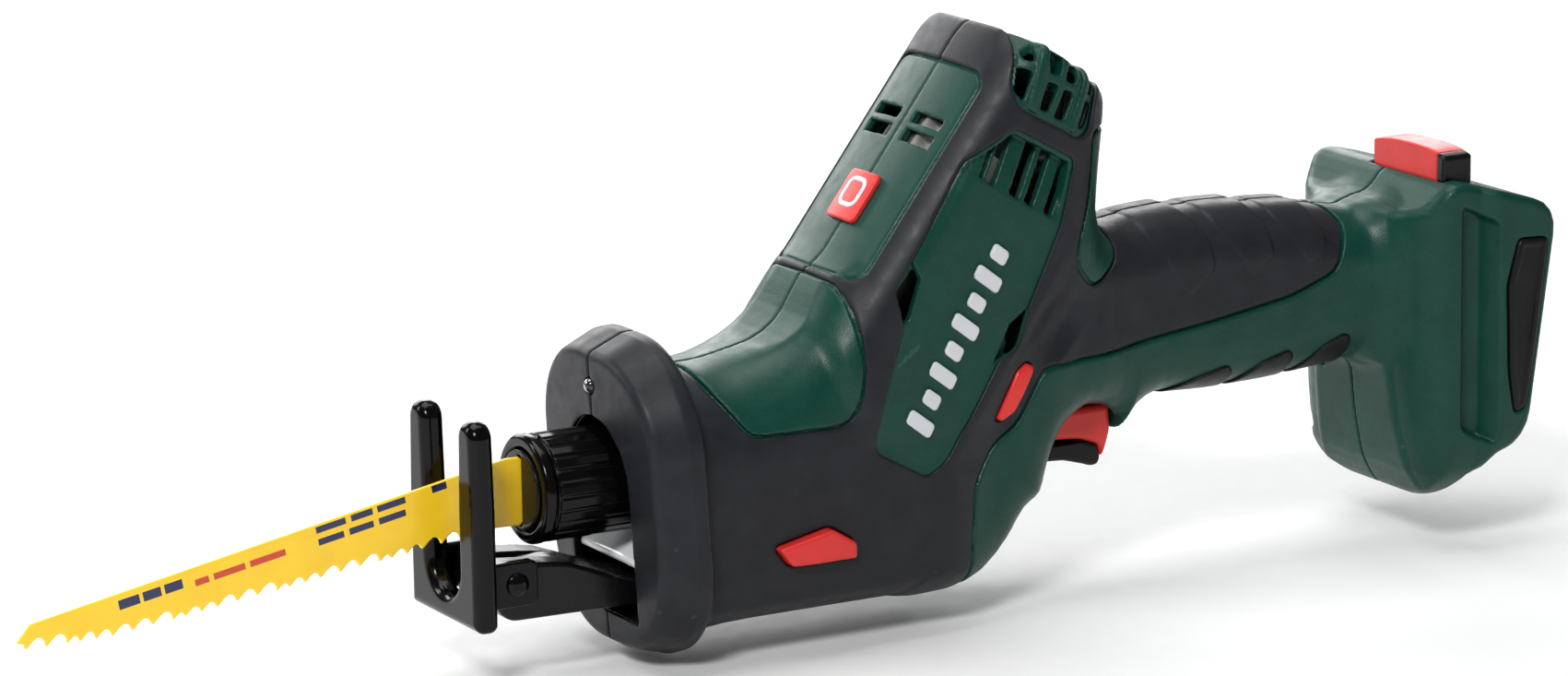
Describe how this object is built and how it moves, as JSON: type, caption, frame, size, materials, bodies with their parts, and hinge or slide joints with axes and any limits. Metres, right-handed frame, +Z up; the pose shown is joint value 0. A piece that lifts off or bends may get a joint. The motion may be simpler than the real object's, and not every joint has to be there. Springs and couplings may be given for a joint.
{
  "type": "reciprocating saw",
  "caption": "Compact cordless reciprocating saw with inclined motor tower, in-line grip, fork shoe, quick blade clamp and slide-on battery foot.",
  "frame": {"origin": "on the stroke axis, in the mouth of the blade clamp, with the crank at mid stroke", "axes": "+X back along the stroke axis (the blade points to -X), +Y to the right side of the tool, +Z up"},
  "size_m": [0.4585, 0.0788, 0.1661],
  "materials": {
    "housing_nylon": "fine textured glass-filled nylon",
    "soft_rubber": "soft-touch, satin",
    "black_plastic": "moulded, fine texture",
    "red_plastic": "satin moulded",
    "clear_lens": "clear moulded lens",
    "gloss_black_metal": "gloss black",
    "blade_yellow": "coated steel",
    "steel": "ground",
    "motor_steel": "plated",
    "magnet": "sintered",
    "copper": "enamelled",
    "bronze": "sintered",
    "seal_rubber": "smooth",
    "cast_aluminium": "die cast",
    "board_green": "lacquered board",
    "lead_sheath": "insulated wire"
  },
  "bodies": {
    "housing": {"housing_left": "housing_nylon", "housing_right": "housing_nylon", "soft_grip_left": "soft_rubber", "soft_grip_right": "soft_rubber", "finger_pads": "soft_rubber", "brush_plate": "black_plastic", "switch_module": "black_plastic", "contact_block": "black_plastic", "bumper_pad_left": "black_plastic", "bumper_pad_right": "black_plastic", "shoe_guide_rails": "black_plastic", "badge_plate": "red_plastic", "led_lens": "clear_lens", "work_light_lens": "clear_lens", "crank_bearing_inner": "steel", "crank_bearing_outer": "steel", "motor_bearing_front": "steel", "motor_bearing_rear": "steel", "housing_screws": "steel", "gear_case_screws": "steel", "trigger_spring": "steel", "release_spring": "steel", "shoe_lever_spring": "steel", "battery_rails": "steel", "motor_can": "motor_steel", "motor_magnets": "magnet", "carbon_brushes": "magnet", "battery_contacts": "copper", "plunger_bush_front": "bronze", "plunger_bush_rear": "bronze", "plunger_seal": "seal_rubber", "gear_case": "cast_aluminium", "gear_case_cover": "cast_aluminium", "control_board": "board_green", "motor_leads": "lead_sheath", "power_leads": "lead_sheath"},
    "rotor": {"motor_shaft": "steel", "motor_pinion": "steel", "armature_core": "motor_steel", "armature_windings": "copper", "commutator": "copper", "motor_fan": "black_plastic"},
    "crank": {"crown_gear": "steel", "crank_shaft": "steel", "crank_pin": "steel", "crank_roller": "steel"},
    "plunger": {"plunger": "steel", "clamp_body": "gloss_black_metal", "clamp_pin": "steel", "clamp_spring": "steel"},
    "sleeve": {"clamp_sleeve": "gloss_black_metal"},
    "blade": {"blade": "blade_yellow"},
    "shoe_arm": {"shoe_arm": "gloss_black_metal", "shoe_pivot_pin": "gloss_black_metal"},
    "shoe": {"shoe_plate": "gloss_black_metal"},
    "shoe_lever": {"shoe_lever": "red_plastic"},
    "trigger": {"trigger": "red_plastic", "trigger_pad": "soft_rubber"},
    "lock_button": {"lock_button": "red_plastic"},
    "release_button": {"release_button": "red_plastic"}
  },
  "joints": [
    {"name": "crank_turn", "type": "hinge", "parent": "housing", "child": "crank", "pos_m": [0.077, 0, 0], "axis": [0, 1, 0], "range_deg": [-90, 90]},
    {"name": "rotor_spin", "type": "hinge", "parent": "housing", "child": "rotor", "pos_m": [0.077, 0, 0], "axis": [0.6088, 0, 0.7934], "range_deg": [-360, 360]},
    {"name": "plunger_stroke", "type": "slide", "parent": "housing", "child": "plunger", "axis": [1, 0, 0], "range_m": [-0.008, 0.008]},
    {"name": "sleeve_twist", "type": "hinge", "parent": "plunger", "child": "sleeve", "pos_m": [0, 0, 0], "axis": [1, 0, 0], "range_deg": [0, 60], "stiffness_Nm_per_rad": 0.25, "springref_deg": -20.05},
    {"name": "blade_pull", "type": "slide", "parent": "plunger", "child": "blade", "axis": [-1, 0, 0], "range_m": [0, 0.02]},
    {"name": "shoe_slide", "type": "slide", "parent": "housing", "child": "shoe_arm", "axis": [-1, 0, 0], "range_m": [-0.005, 0.03]},
    {"name": "shoe_tilt", "type": "hinge", "parent": "shoe_arm", "child": "shoe", "pos_m": [-0.0095, 0, -0.0215], "axis": [0, 1, 0], "range_deg": [-15, 7]},
    {"name": "shoe_lever_press", "type": "slide", "parent": "housing", "child": "shoe_lever", "axis": [0, 1, 0], "range_m": [0, 0.0025], "stiffness_N_per_m": 800, "springref_m": -0.002, "deforming": ["shoe_lever_spring"]},
    {"name": "trigger_pull", "type": "slide", "parent": "housing", "child": "trigger", "axis": [0, 0, 1], "range_m": [0, 0.006], "stiffness_N_per_m": 600, "springref_m": -0.003, "deforming": ["trigger_spring"]},
    {"name": "lock_push", "type": "slide", "parent": "housing", "child": "lock_button", "axis": [0, 1, 0], "range_m": [-0.0022, 0.0022]},
    {"name": "release_press", "type": "slide", "parent": "housing", "child": "release_button", "axis": [0, 0, -1], "range_m": [0, 0.003], "stiffness_N_per_m": 900, "springref_m": -0.002, "deforming": ["release_spring"]}
  ],
  "couplings": [
    {"joint": "crank_turn", "follows": "plunger_stroke", "rad_per_m": 196.3},
    {"joint": "rotor_spin", "follows": "plunger_stroke", "rad_per_m": 767.35}
  ]
}
